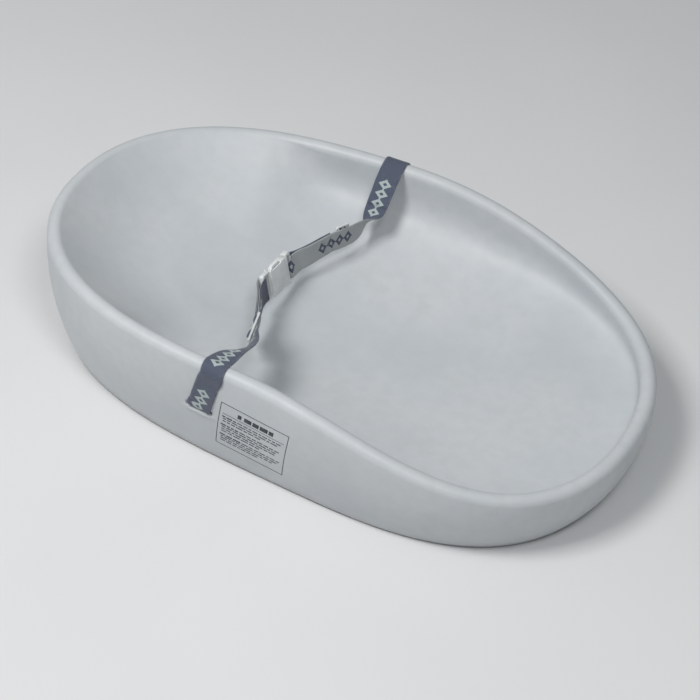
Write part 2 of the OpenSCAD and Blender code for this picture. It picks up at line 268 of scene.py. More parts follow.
def motif(m, along, across):
    """1 inside the woven pattern: a row of open lozenges with dots between them, then a gap."""
    place = m.math("FLOORED_MODULO", along, MOTIF_PERIOD)
    in_group = m.math("LESS_THAN", place, MOTIF_LENGTH)
    cell = m.math("SUBTRACT", m.math("FLOORED_MODULO", place, MOTIF_CELL), MOTIF_CELL / 2)
    side = m.math("ABSOLUTE", cell)
    height = m.math("ABSOLUTE", across)
    lozenge = m.math("ADD", m.math("DIVIDE", side, MOTIF_REACH), m.math("DIVIDE", height, MOTIF_HEIGHT))
    outer = m.math("LESS_THAN", lozenge, 1.0)
    inner = m.math("GREATER_THAN", lozenge, MOTIF_HOLE)
    end = m.math("SUBTRACT", side, MOTIF_CELL / 2)
    dot = m.math("LESS_THAN", m.math("ADD", m.math("ABSOLUTE", end), height), 0.0013)
    shape = m.math("MAXIMUM", m.math("MULTIPLY", outer, inner), dot)
    return m.math("MULTIPLY", shape, in_group)


def webbing_material(name, ground, figure):
    """Woven webbing: herringbone ribs, thick selvedges, and the motif in a second colour."""
    m = Material(name, Specular_IOR_Level=0.3, Sheen_Weight=0.25, Sheen_Roughness=0.45)
    along, across = m.uv()
    fold = m.math("PINGPONG", across, 0.0035)
    slant = m.math("ADD", along, fold)
    rib = m.math("SINE", m.math("MULTIPLY", slant, 2 * math.pi / RIB_PITCH))
    pick = m.math("SINE", m.math("MULTIPLY", across, 2 * math.pi / PICK_PITCH))
    weave = m.math("MULTIPLY", m.math("ADD", rib, m.math("MULTIPLY", pick, 0.5)), 0.5)
    edge = m.ramp(m.math("ABSOLUTE", across), 0.0118, 0.0132)
    # Painted shade: the weave's low parts are painted darker than the ground colour, as if shaded in the
    # grooves between the ribs; the same relief also drives the bump.
    groove_shade = tuple(0.82 * c for c in ground[:3]) + (1,)
    colour = m.mix(m.ramp(weave, -0.7, 0.6), groove_shade, ground)
    colour = m.mix(motif(m, along, across), colour, figure)
    worn = m.math("MULTIPLY", edge, m.ramp(m.noise(120, 4), 0.4, 0.7))
    colour = m.mix(m.math("MULTIPLY", worn, 0.45), colour, (0.22, 0.24, 0.27, 1))
    lint = m.math("MULTIPLY", m.ramp(m.noise(300, 3), 0.55, 0.8), 0.12)
    colour = m.mix(lint, colour, (0.34, 0.36, 0.38, 1))
    roughness = m.ramp(weave, -1, 1, 0.86, 0.68)
    fuzz = m.bump(m.noise(2600, 2), 0.0001, 0.4)
    return m.finish(colour, roughness, m.bump(weave, 0.00012, 0.5, fuzz))


def plastic_material(name, colour, roughness):
    """Moulded acetal: near-white, softly glossy, fine spark-eroded grain and faint handling marks."""
    m = Material(name, Specular_IOR_Level=0.5, Coat_Weight=0.08, Coat_Roughness=0.25)
    dull = tuple(0.86 * c for c in colour[:3]) + (1,)
    base = m.mix(m.ramp(m.noise(60, 4), 0.35, 0.75), colour, dull)
    grime = m.math("MULTIPLY", m.ramp(m.noise(420, 5), 0.6, 0.8), 0.3)
    base = m.mix(grime, base, (0.30, 0.31, 0.31, 1))
    gloss = m.ramp(m.noise(180, 4), 0.3, 0.7, roughness - 0.06, roughness + 0.08)
    return m.finish(base, gloss, m.bump(m.noise(3200, 2), 0.00006, 0.5))


def thread_material():
    """Twisted polyester thread."""
    m = Material("stitch_thread", Specular_IOR_Level=0.35, Sheen_Weight=0.3)
    x, y, z = m.xyz()
    twist = m.math("SINE", m.math("MULTIPLY", m.math("ADD", m.math("ADD", x, y), z), 9000))
    # Painted shade and highlight: the twist's low parts are painted darker and its crests lighter, following
    # the same relief as the bump.
    colour = m.mix(m.ramp(twist, -1, 1), (0.16, 0.19, 0.24, 1), (0.33, 0.37, 0.42, 1))
    return m.finish(colour, m.ramp(m.noise(900), 0.3, 0.7, 0.5, 0.7), m.bump(twist, 0.0001, 0.6))


def ink_material():
    """Dark ink printed on the foam, a little broken where it has rubbed."""
    m = Material("panel_ink", Specular_IOR_Level=0.35)
    rubbed = m.math("MULTIPLY", m.ramp(m.noise(500, 5), 0.55, 0.75), 0.55)
    colour = m.mix(rubbed, (0.045, 0.05, 0.06, 1), (0.30, 0.32, 0.34, 1))
    return m.finish(colour, m.ramp(m.noise(80), 0.3, 0.7, 0.45, 0.6), m.bump(m.noise(1500), 0.00005))


def floor_material():
    m = Material("pale_floor", Specular_IOR_Level=0.2)
    colour = m.mix(m.ramp(m.noise(2.5, 4), 0.3, 0.7), (0.70, 0.705, 0.71, 1), (0.72, 0.725, 0.73, 1))
    return m.finish(colour, m.ramp(m.noise(9), 0.3, 0.7, 0.7, 0.8), m.bump(m.noise(60, 3), 0.0005, 0.1))


# ---------------------------------------------------------------- mesh helpers


def new_object(name, verts, faces, materials, face_slots=None, uv=None):
    """A mesh object from millimetre points. uv, if given, is one (u, v) in metres for each vertex."""
    mesh = bpy.data.meshes.new(name)
    mesh.from_pydata([Vector(v) * MM for v in verts], [], faces)
    for material in materials:
        mesh.materials.append(material)
    if face_slots:
        mesh.polygons.foreach_set("material_index", face_slots)
    if uv:
        layer = mesh.uv_layers.new(name="UVMap")
        for loop in mesh.loops:
            layer.data[loop.index].uv = uv[loop.vertex_index]
    mesh.validate()
    mesh.shade_smooth()
    made = bpy.data.objects.new(name, mesh)
    bpy.context.scene.collection.objects.link(made)
    return made


def ring_quads(rings, count):
    """Faces between consecutive closed rings of count points."""
    return [
        (k * count + i, k * count + (i + 1) % count, (k + 1) * count + (i + 1) % count, (k + 1) * count + i)
        for k in range(rings - 1)
        for i in range(count)
    ]


def joined(name, pieces):
    """One object out of several that share their materials in the same order."""
    bm = bmesh.new()
    for piece in pieces:
        bm.from_mesh(piece.data)
    whole = pieces[0]
    bm.to_mesh(whole.data)
    bm.free()
    for piece in pieces[1:]:
        bpy.data.objects.remove(piece)
    whole.name = name
    return whole


def bevelled(obj, width, segments=3):
    """Rounds the sharp edges of obj by width millimetres, in the mesh itself."""
    modifier = obj.modifiers.new("bevel", "BEVEL")
    modifier.width = width * MM
    modifier.segments = segments
    modifier.limit_method = "ANGLE"
    modifier.angle_limit = math.radians(40)
    modifier.use_clamp_overlap = True
    depsgraph = bpy.context.evaluated_depsgraph_get()
    mesh = bpy.data.meshes.new_from_object(obj.evaluated_get(depsgraph))
    obj.modifiers.clear()
    obj.data = mesh
    mesh.set_sharp_from_angle(angle=math.radians(50))
    return obj


def smoothstep(x):
    x = max(0.0, min(1.0, x))
    return x * x * (3 - 2 * x)


# ---------------------------------------------------------------- foam tub


def rim_point(t):
    c, s = math.cos(math.radians(t)), math.sin(math.radians(t))
    reach = max(0.0, 1 - abs(c) ** OUTLINE_X) ** (1 / OUTLINE_Y)
    return Vector((RIM_HALF_LENGTH * c, math.copysign(RIM_HALF_WIDTH * (1 + FOOT_WIDENING * c) * reach, s)))


def rim_normal(t):
    d = rim_point(t + 0.5) - rim_point(t - 0.5)
    return Vector((d.y, -d.x)).normalized()


def ease(s):
    return (1 - math.cos(math.pi * s)) / 2


def crest_z(x):
    u = max(-1, min(1, x / RIM_HALF_LENGTH))
    if u > CREST_AT:
        return SIDE_HEIGHT - (SIDE_HEIGHT - FOOT_HEIGHT) * ease((u - CREST_AT) / (1 - CREST_AT))
    return SIDE_HEIGHT - (SIDE_HEIGHT - HEAD_HEIGHT) * ease(((CREST_AT - u) / (1 + CREST_AT)) ** HEAD_EASE)


def floor_z(x):
    u = x / RIM_HALF_LENGTH
    return FLOOR_HEIGHT - 25 * u + 15 * u * u


def slope_share(u):
    return smoothstep((-0.3 - u) / 0.3)


def sweep_width(u):
    return FLOOR_SWEEP + HEAD_SWEEP * slope_share(u) - FOOT_SWEEP * max(0, u) ** 2


def sweep_run(slope, a):
    straight = SLOPE_STRAIGHT * slope
    return straight * a / 90 + (1 - straight) * (1 - math.cos(math.radians(a)))


def sweep_drop(slope, a):
    power = STEEP_POWER + (1 - STEEP_POWER) * slope
    return (1 - WALL_LEAN) * math.sin(math.radians(a)) ** power + WALL_LEAN * sweep_run(slope, a)


def rim_turn(t):
    """How far round the rim's roll the inner wall begins, and the height of the floor's edge there."""
    p, n, u = rim_point(t), rim_normal(t), math.cos(math.radians(t))
    sweep = sweep_width(u)
    floor_edge = floor_z(p.x - (RIM_RADIUS + sweep) * n.x)
    level = sweep * slope_share(u) * SLOPE_STRAIGHT * 2 / math.pi
    return 90 + math.degrees(math.atan2(crest_z(p.x) - RIM_RADIUS - floor_edge, level)), floor_edge


def wall_offset(v):
    flare = RIM_RADIUS + WALL_FLARE
    return RIM_RADIUS * (1 - v) ** 2 + 2 * (1 - v) * v * flare - BASE_INSET * v * v


def foam_swell(p):
    """How far the skin stands off its formula at p: slow unevenness from the mould, in millimetres."""
    q = Vector(p)
    return 0.30 * noise.noise(q / 85) + 0.12 * noise.noise(q / 32)


def slot_press(x, z):
    """How far the outer skin goes out at a strap slot: in at the mouth, and out at the lip under it."""
    across = x - SLOT_X
    inside_width = smoothstep((WEB_WIDTH / 2 + 2.6 - abs(across)) / 1.8)
    inside_height = smoothstep((3.1 - abs(z - SLOT_HEIGHT)) / 1.4)
    lip = math.exp(-(((z - SLOT_HEIGHT + 6.5) / 3.2) ** 2)) * math.exp(-((across / 19) ** 4))
    return -9 * inside_width * inside_height + 2.0 * lip


def skin_profile():
    """The skin's rows from the base to the floor's edge: (part, parameter)."""
    rows = [("base", a) for a in range(0, 76, 15)]
    dense = [0.34 + 0.0075 * i for i in range(18)]
    sparse = [0.98 - 0.04 * i for i in range(25)]
    walls = sorted(dense + [v for v in sparse if not 0.325 < v < 0.49], reverse=True)
    rows += [("wall", v) for v in walls]
    rows += [("rim", i / 18) for i in range(19)]
    return rows + [("sweep", 90 * (i / 28) ** 1.9) for i in range(1, 29)]


def skin_point(t, part, k):
    """A point of the skin at rim angle t, before it is swelled, and the way out of the foam there."""
    p, n = rim_point(t), rim_normal(t)
    top = crest_z(p.x) - RIM_RADIUS
    rise = 0.0
    if part == "base":
        a = math.radians(k)
        off, z = -BASE_INSET - BASE_ROUND * (1 - math.sin(a)), BASE_ROUND * (1 - math.cos(a))
        lean = math.sin(a)
        rise = -math.cos(a)
    elif part == "wall":
        off, z, lean = wall_offset(k), top * (1 - k), 1.0
    elif part == "rim":
        a = math.radians(k * rim_turn(t)[0])
        off, z = RIM_RADIUS * math.cos(a), top + RIM_RADIUS * math.sin(a)
        lean, rise = math.cos(a), math.sin(a)
    else:
        turn, floor_edge = rim_turn(t)
        u = math.cos(math.radians(t))
        slope = slope_share(u)
        start = RIM_RADIUS * math.cos(math.radians(turn))
        start_z = top + RIM_RADIUS * math.sin(math.radians(turn))
        off = start - (start + RIM_RADIUS + sweep_width(u)) * sweep_run(slope, k)
        z = start_z - (start_z - floor_edge) * sweep_drop(slope, k)
        lean, rise = -math.cos(math.radians(k)), math.sin(math.radians(k))
    return Vector((p.x + off * n.x, p.y + off * n.y, z)), Vector((lean * n.x, lean * n.y, rise))


def rim_angles():
    """The angles round the rim where the skin is sampled: every 1.25, and closer at the two slots."""
    slot_angle = math.degrees(math.acos(SLOT_X / RIM_HALF_LENGTH))
    angles = [1.25 * i for i in range(288)]
    near_slot = [slot_angle - 4 + 0.25 * i for i in range(33)]
    for middle in (slot_angle, 360 - slot_angle):
        angles = [a for a in angles if abs(a - middle) > 4.6]
        angles += [a - slot_angle + middle for a in near_slot]
    return sorted(angles)


def make_tub(material):
    """The foam as one closed skin: rings from the base over the rim, then the floor, then the base."""
    angles = rim_angles()
    verts = []
    rows = skin_profile()
    for part, k in rows:
        for t in angles:
            p, out = skin_point(t, part, k)
            if part != "base":
                p += out * foam_swell(p)
            if part == "wall" and abs(p.x - SLOT_X) < 45:
                p.y += math.copysign(1, p.y) * slot_press(p.x, p.z)
            verts.append(p)
    count = len(angles)

    # The floor: smaller and smaller copies of the floor's edge, closed by a point
    edge = verts[-count:]
    scales = [1 - 0.09 * i for i in range(1, 11)]
    for g in scales:
        for e in edge:
            x = g * e.x
            p = Vector((x, g * e.y, floor_z(x) - FLOOR_DISH * (1 - g * g)))
            verts.append(p + Vector((0, 0, foam_swell(p))))
    faces = ring_quads(len(rows) + len(scales), count)
    last = len(verts) - count
    verts.append(Vector((0, 0, floor_z(0) - FLOOR_DISH)))
    faces += [(last + i, last + (i + 1) % count, len(verts) - 1) for i in range(count)]

    # The flat base: smaller copies of its first ring, closed by a point
    first = len(verts)
    for g in (0.7, 0.35):
        verts += [Vector((g * p.x, g * p.y, 0)) for p in verts[:count]]
    verts.append(Vector((0, 0, 0)))
    for a, b in ((0, first), (first, first + count)):
        faces += [(a + (i + 1) % count, a + i, b + i, b + (i + 1) % count) for i in range(count)]
    centre = len(verts) - 1
    faces += [(first + count + (i + 1) % count, first + count + i, centre) for i in range(count)]
    return new_object("foam_pad", verts, faces, [material])


# ---------------------------------------------------------------- printed panel


def wall_surface(x, z, lift):
    """The near outer wall at x and z, lift millimetres off the skin."""
    t = -math.degrees(math.acos(max(-1, min(1, x / RIM_HALF_LENGTH))))
    v = 1 - z / (crest_z(x) - RIM_RADIUS)
    p, out = skin_point(t, "wall", v)
    return p + out * (foam_swell(p) + lift)


def label_place(a, b, lift):
    c, s = math.cos(math.radians(LABEL_TILT)), math.sin(math.radians(LABEL_TILT))
    a += LABEL_LEAN * (b - LABEL_HEIGHT / 2)
    return wall_surface(LABEL_X + a * c - b * s, LABEL_TOP - LABEL_HEIGHT / 2 + a * s + b * c, lift)


def ink_bar(verts, faces, a0, a1, b0, b1):
    """A printed patch from a0 to a1 along the panel and b0 to b1 up it, as a thin closed skin."""
    steps_a = max(1, round((a1 - a0) / 4))
    steps_b = max(1, round((b1 - b0) / 4))
    first = len(verts)
    wide = steps_b + 1
    for lift in (0.05, 0.2):
        for i in range(steps_a + 1):
            for j in range(wide):
                a = a0 + (a1 - a0) * i / steps_a
                b = b0 + (b1 - b0) * j / steps_b
                verts.append(label_place(a, b, lift))
    layer = (steps_a + 1) * wide

    def at(i, j, k):
        return first + k * layer + i * wide + j

    for i in range(steps_a):
        for j in range(steps_b):
            faces.append((at(i, j, 1), at(i + 1, j, 1), at(i + 1, j + 1, 1), at(i, j + 1, 1)))
            faces.append((at(i, j, 0), at(i, j + 1, 0), at(i + 1, j + 1, 0), at(i + 1, j, 0)))
    for i in range(steps_a):
        for j, turn in ((0, 1), (steps_b, -1)):
            side = (at(i, j, 0), at(i + 1, j, 0), at(i + 1, j, 1), at(i, j, 1))
            faces.append(side[::turn])
    for j in range(steps_b):
        for i, turn in ((0, -1), (steps_a, 1)):
            side = (at(i, j, 0), at(i, j + 1, 0), at(i, j + 1, 1), at(i, j, 1))
            faces.append(side[::turn])


def make_label(material):
    """A plain panel: a thin frame, a title made of blocks, and rows of dashes that say nothing."""
    draw = random.Random(7)
    verts, faces = [], []
    half, tall, line = LABEL_LENGTH / 2, LABEL_HEIGHT / 2, 0.7
    ink_bar(verts, faces, -half, half, tall - line, tall)
    ink_bar(verts, faces, -half, half, -tall, -tall + line)
    ink_bar(verts, faces, -half, -half + line, -tall + line, tall - line)
    ink_bar(verts, faces, half - line, half, -tall + line, tall - line)
    for a0, a1 in ((-20, -15.5), (-12, -3), (-1.5, 6), (7.5, 17), (18.5, 24)):
        ink_bar(verts, faces, a0, a1, tall - 13, tall - 7)
    ink_bar(verts, faces, -half + 4, half - 4, tall - 16.4, tall - 16)
    top = tall - 20
    for row in range(11):
        if row in (3, 7):
            top -= 2.2
        end = half - 5 - draw.uniform(0, 7) - (22 if row in (2, 6, 10) else 0)
        bold = row in (0, 3, 7)
        a = -half + 4 + (0 if bold else 1.5)
        while a < end - 3:
            dash = min(draw.uniform(3, 9), end - a)
            height = 1.9 if bold and a < -half + 22 else 1.3
            ink_bar(verts, faces, a, a + dash, top - height, top)
            a += dash + 1.5
        top -= 3.9
    return new_object("printed_label", verts, faces, [material])


# ---------------------------------------------------------------- webbing


def slopes(values, knots):
    """The rate of change at each knot of values that need not be evenly spaced."""
    last = len(values) - 1
    rates = [(values[i + 1] - values[i]) / (knots[i + 1] - knots[i]) for i in range(last)]
    out = [rates[0]]
    for i in range(1, last):
        before, after = knots[i] - knots[i - 1], knots[i + 1] - knots[i]
        out.append((rates[i - 1] * after + rates[i] * before) / (before + after))
    return out + [rates[-1]]


def spline(values, knots, steps):
    """A smooth curve through the values, with steps samples from each to the next."""
    rates = slopes(values, knots)
    out = []
    for i in range(len(values) - 1):
        span = knots[i + 1] - knots[i]
        for k in range(steps):
            q = k / steps
            near, far = 1 - q * q * (3 - 2 * q), q * q * (3 - 2 * q)
            leave, arrive = q * (1 - q) ** 2 * span, q * q * (q - 1) * span
            out.append(near * values[i] + far * values[i + 1] + leave * rates[i] + arrive * rates[i + 1])
    return out + [values[-1]]


class Path:
    """A ribbon's route: centres, and at each the ways along it, across it and off its face."""

    def __init__(self, stations, steps=6):
        places = [Vector(c) for c, _ in stations]
        knots = [0.0]
        for a, b in zip(places, places[1:]):
            knots.append(knots[-1] + (b - a).length)
        centres = spline(places, knots, steps)
        widths = spline([Vector(w).normalized() for _, w in stations], knots, steps)
        self.centre, self.along, self.across, self.off, self.run = [], [], [], [], []
        run = 0.0
        for i, c in enumerate(centres):
            ahead = centres[min(i + 1, len(centres) - 1)]
            back = centres[max(i - 1, 0)]
            t = (ahead - back).normalized()
            w = (widths[i] - widths[i].dot(t) * t).normalized()
            run += (c - back).length if i else 0.0
            self.centre.append(c)
            self.along.append(t)
            self.across.append(w)
            self.off.append(t.cross(w))
            self.run.append(run)

    def place(self, run, across, off):
        """The point run along the route, and across and off from its centre line."""
        k = max(i for i, r in enumerate(self.run) if r <= run or i == 0)
        k = min(k, len(self.run) - 2)
        q = (run - self.run[k]) / (self.run[k + 1] - self.run[k])
        c = self.centre[k].lerp(self.centre[k + 1], q)
        return c + self.across[k] * across + self.off[k] * off

    def part(self, first, last):
        """The stretch from one sample to another, both kept."""
        piece = copy.copy(self)
        for key in ("centre", "along", "across", "off", "run"):
            setattr(piece, key, getattr(self, key)[first : last + 1])
        return piece


def web_section(width, thickness):
    """The webbing's cross-section: flat faces, thicker selvedges and round edges, going round once."""
    half, thick = width / 2, thickness / 2
    across = [-0.92, -0.80, -0.62, -0.36, -0.12, 0.12, 0.36, 0.62, 0.80, 0.92]
    level = [0.90, 1.0, 0.90, 0.86, 0.85, 0.85, 0.86, 0.90, 1.0, 0.90]
    top = [(half * a, thick * h) for a, h in zip(across, level)]
    right = [(half * 0.985, thick * 0.55), (half, 0), (half * 0.985, -thick * 0.55)]
    return top + right + [(a, -h) for a, h in reversed(top)] + [(-a, -h) for a, h in right]


def make_web(name, path, materials, start=0.0, thickness=WEB_THICKNESS, width=WEB_WIDTH):
    """A ribbon of webbing on a path. materials: the face that path.off points out of, then the other."""
    section = web_section(width, thickness)
    count = len(section)
    verts, uv = [], []
    for i, c in enumerate(path.centre):
        for a, h in section:
            verts.append(c + path.across[i] * a + path.off[i] * h)
            uv.append(((start + path.run[i]) * MM, a * MM))
    rings = len(path.centre)
    faces = ring_quads(rings, count)
    faces += [tuple(reversed(range(count))), tuple((rings - 1) * count + i for i in range(count))]
    upper = [0 if i <= 10 or i == count - 1 else 1 for i in range(count)]
    slots = [upper[i] for _ in range(rings - 1) for i in range(count)] + [0, 0]
    return new_object(name, verts, faces, materials, slots, uv)


def unit(v):
    return Vector(v).normalized()


def beside(at, bar, run, along, off):
    """A station beside an adjuster: along its run, and off its mid plane."""
    x = unit(bar)
    run = Vector(run)
    y = (run - run.dot(x) * x).normalized()
    return (Vector(at) + along * y + off * x.cross(y), x)


# Each adjuster: its centre, the way along its bars, and roughly the way the webbing runs
NEAR_SLIDER = ((-68, -93.5, 106.2), (0, 0.69, 0.72), (-0.36, 0.9, -0.27))
FAR_SLIDER = ((-64, 107, 98.6), (0, 0, 1), (0.42, 0.9, 0.05))
BEHIND = -(SLIDER_THICKNESS + WEB_THICKNESS) / 2 - LAYER_GAP
PAST = SLIDER_LENGTH / 2 + 5
LAYER = WEB_THICKNESS / 2 + LAYER_GAP


def buckle_matrix():
    tilt = Matrix.Rotation(math.radians(BUCKLE_TILT), 4, "X")
    roll = Matrix.Rotation(math.radians(BUCKLE_ROLL), 4, "Y")
    return Matrix.Translation(BUCKLE_AT) @ tilt @ roll


def adjuster_matrix(at, bar, run):
    x = unit(bar)
    run = Vector(run)
    y = (run - run.dot(x) * x).normalized()
    turn = Matrix((x, y, x.cross(y))).transposed().to_4x4()
    return Matrix.Translation(at) @ turn


def on_buckle(y, z):
    """A webbing station in the buckle's own plane of y and z, its width along the buckle's."""
    matrix = buckle_matrix()
    return (matrix @ Vector((0, y, z)), -matrix.col[0].to_3d())


def wall_y(z):
    t = math.degrees(math.acos(SLOT_X / RIM_HALF_LENGTH))
    return rim_point(t).y + wall_offset(1 - z / (crest_z(SLOT_X) - RIM_RADIUS))


def wall_stations():
    """From the anchor bar out of the slot, up the outer wall and over the rim, on the far side."""
    strap_angle = math.degrees(math.acos(STRAP_X / RIM_HALF_LENGTH))
    d = rim_point(strap_angle - 1) - rim_point(strap_angle + 1)
    across = (d.x, d.y, 0)
    along_bar = (1, 0, 0)
    wrap = ANCHOR_RADIUS + LAYER_GAP + WEB_THICKNESS / 2
    lift = WEB_THICKNESS / 2 + 0.55
    rim_y = rim_point(strap_angle).y
    rim_z = crest_z(STRAP_X) - RIM_RADIUS
    over = RIM_RADIUS + lift
    out = [((SLOT_X, ANCHOR_Y + 8, ANCHOR_Z - 0.4), along_bar)]
    for a in range(270, 89, -45):
        turn = math.radians(a)
        out.append(((SLOT_X, ANCHOR_Y + wrap * math.cos(turn), ANCHOR_Z + wrap * math.sin(turn)), along_bar))
    out.append(((SLOT_X, ANCHOR_Y + 7, SLOT_HEIGHT), along_bar))
    out.append(((SLOT_X, wall_y(SLOT_HEIGHT) - 2, SLOT_HEIGHT), across))
    out.append(((SLOT_X, wall_y(SLOT_HEIGHT) + 1, SLOT_HEIGHT + 0.6), across))
    out.append(((SLOT_X, wall_y(SLOT_HEIGHT) + lift + 0.5, SLOT_HEIGHT + 3.5), across))
    for z in range(SLOT_HEIGHT + 9, int(rim_z - 8) + 1, 12):
        x = SLOT_X + 16 * max(0, min(1, (z - SLOT_HEIGHT) / 60))
        out.append(((x, wall_y(z) + lift, z), across))
    for a in range(0, 121, 20):
        turn = math.radians(a)
        out.append(((STRAP_X, rim_y + over * math.cos(turn), rim_z + over * math.sin(turn)), across))
    return out


def to_near(stations):
    return [((x, -y, z), (wx, -wy, wz)) for (x, y, z), (wx, wy, wz) in stations]


def layered(stations, off):
    """The same stations shifted off their own faces, for one layer of doubled webbing."""
    path = Path(stations, 1)
    return [(c + off * n, w) for c, n, w in zip(path.centre, path.off, path.across)]


def wrap_round(y, reach_y, reach_z, towards, side):
    """Stations round a strap bar at y on the buckle, coming from side -z and leaving on side +z.

    towards is the way along y that the webbing goes before it turns back.
    """
    out = []
    for a in range(-100, 101, 25):
        turn = math.radians(a)
        out.append(on_buckle(y + towards * reach_y * math.cos(turn), side * reach_z * math.sin(turn)))
    return out


# Stations of the free webbing, from the rim inwards: its centre, and the way across it there
NEAR_SPAN = [
    ((-47, -174, 141), (0.95, 0.05, 0.3)),
    ((-46, -146, 127), (0.7, 0.2, 0.7)),
    ((-53, -122, 116), (0.2, 0.5, 0.85)),
    beside(*NEAR_SLIDER, -PAST, BEHIND),
    beside(*NEAR_SLIDER, 0, BEHIND),
    beside(*NEAR_SLIDER, SLIDER_LENGTH / 2, BEHIND),
]
NEAR_LOOP = [
    beside(*NEAR_SLIDER, PAST, BEHIND / 2),
    beside(*NEAR_SLIDER, PAST + 5, BEHIND / 2),
    ((-80, -66, 93.5), (-0.05, 0.4, 0.9)),
    ((-86, -49, 94), (-0.15, 0.2, 0.95)),
    ((-91, -37, 95), (-0.22, 0.1, 0.95)),
]
FAR_SPAN = [
    ((-48, 186, 137), (1, 0, 0)),
    ((-48, 171, 121), (1, 0, 0.1)),
    ((-48, 154, 107), (0.85, 0.1, 0.4)),
    ((-50, 140, 101), (0.35, 0.2, 0.85)),
    beside(*FAR_SLIDER, PAST, BEHIND),
    beside(*FAR_SLIDER, 0, BEHIND),
    beside(*FAR_SLIDER, -SLIDER_LENGTH / 2, BEHIND),
]
FAR_LOOP = [
    beside(*FAR_SLIDER, -PAST, BEHIND / 2),
    ((-76, 82, 95), (-0.05, 0, 1)),
    ((-84, 64, 92), (-0.1, 0.05, 1)),
    ((-91, 50, 90), (-0.2, 0.05, 1)),
]


def near_route():
    """Anchor, wall, rim, adjuster, round the housing's bar and back to the stitched end."""
    there = layered(NEAR_LOOP, -LAYER)
    back = layered(NEAR_LOOP, LAYER)
    bar = wrap_round(HOUSING_BAR_Y, 3.7, 4.0, 1, 1)
    return to_near(wall_stations()) + NEAR_SPAN + there + bar + back[::-1]


def far_route():
    """Anchor, wall, rim, adjuster, round the tongue's bar and back to the stitched end."""
    there = layered(FAR_LOOP, -LAYER)
    back = layered(FAR_LOOP, LAYER)
    bar = wrap_round(TONGUE_BAR_Y, 2.7, 5.0, -1, -1)
    return wall_stations() + FAR_SPAN + there + bar + back[::-1]


def make_hump(name, slider, materials):
    """The webbing seen through an adjuster, where it goes over the middle bar between the slots."""
    route = [(-8, -2.3), (-6, -2.1), (-4.6, -0.9), (-3.4, 0.9), (-1.8, 2.25), (0, 2.6)]
    route += [(-y, z) for y, z in reversed(route[:-1])]
    stations = [beside(*slider, y, z) for y, z in route]
    return make_web(name, Path(stations, 4), materials, 20.0, 1.5, WEB_WIDTH - 0.4)


def stitch_row(verts, faces, path, start, end, off):
    """Thread segments lying on the webbing from start to end, each given as (run, across)."""
    length = math.dist(start, end)
    count = max(1, round(length / 2.6))
    for i in range(count):
        ends = []
        for q in ((i + 0.14) / count, (i + 0.86) / count):
            run = start[0] + (end[0] - start[0]) * q
            across = start[1] + (end[1] - start[1]) * q
            ends.append(path.place(run, across, off))
        add_stitch(verts, faces, *ends, path.place(start[0], 0, off * 2) - path.place(start[0], 0, off))


def add_stitch(verts, faces, a, b, up):
    """One stitch: a short thread from a to b, bowed up in the middle and closed at both ends."""
    along = (b - a).normalized()
    up = up.normalized()
    side = along.cross(up)
    first = len(verts)
    tip, shoulder, middle = (0.10, -0.15), (0.26, 0.0), (0.32, 0.14)
    sections = [(0.0, *tip), (0.12, *shoulder), (0.5, *middle), (0.88, *shoulder), (1.0, *tip)]
    for q, radius, rise in sections:
        c = a.lerp(b, q) + up * rise
        for k in range(6):
            turn = math.radians(60 * k)
            verts.append(c + side * radius * math.cos(turn) + up * radius * math.sin(turn))
    last = first + 6 * (len(sections) - 1)
    for k in range(len(sections) - 1):
        for i in range(6):
            j = (i + 1) % 6
            faces.append((first + 6 * k + i, first + 6 * k + j, first + 6 * k + 6 + j, first + 6 * k + 6 + i))
    faces.append(tuple(first + i for i in reversed(range(6))))
    faces.append(tuple(last + i for i in range(6)))


def make_stitching(name, loop, material, box_start, box_end):
    """A sewn box with a cross on both faces of the doubled webbing."""
    path = Path(loop, 6)
    verts, faces = [], []
    edge = WEB_WIDTH / 2 - 2.6
    corners = [(box_start, -edge), (box_end, -edge), (box_end, edge), (box_start, edge)]
    rows = [(corners[i], corners[(i + 1) % 4]) for i in range(4)]
    rows += [(corners[0], corners[2]), (corners[1], corners[3])]
    for off in (LAYER + WEB_THICKNESS / 2, -LAYER - WEB_THICKNESS / 2):
        for start, end in rows:
            stitch_row(verts, faces, path, start, end, off)
    return new_object(name, verts, faces, [material])


# ---------------------------------------------------------------- moulded parts


def arc(cx, cy, r, first, last, steps=6):
    return [
        (cx + r * math.cos(math.radians(a)), cy + r * math.sin(math.radians(a)))
        for a in (first + (last - first) * i / steps for i in range(steps + 1))
    ]


def rounded(width, y0, y1, r, steps=6):
    """A rectangle with round corners, centred in x, anticlockwise."""
    x = width / 2 - r
    return (
        arc(x, y0 + r, r, -90, 0, steps)
        + arc(x, y1 - r, r, 0, 90, steps)
        + arc(-x, y1 - r, r, 90, 180, steps)
        + arc(-x, y0 + r, r, 180, 270, steps)
    )


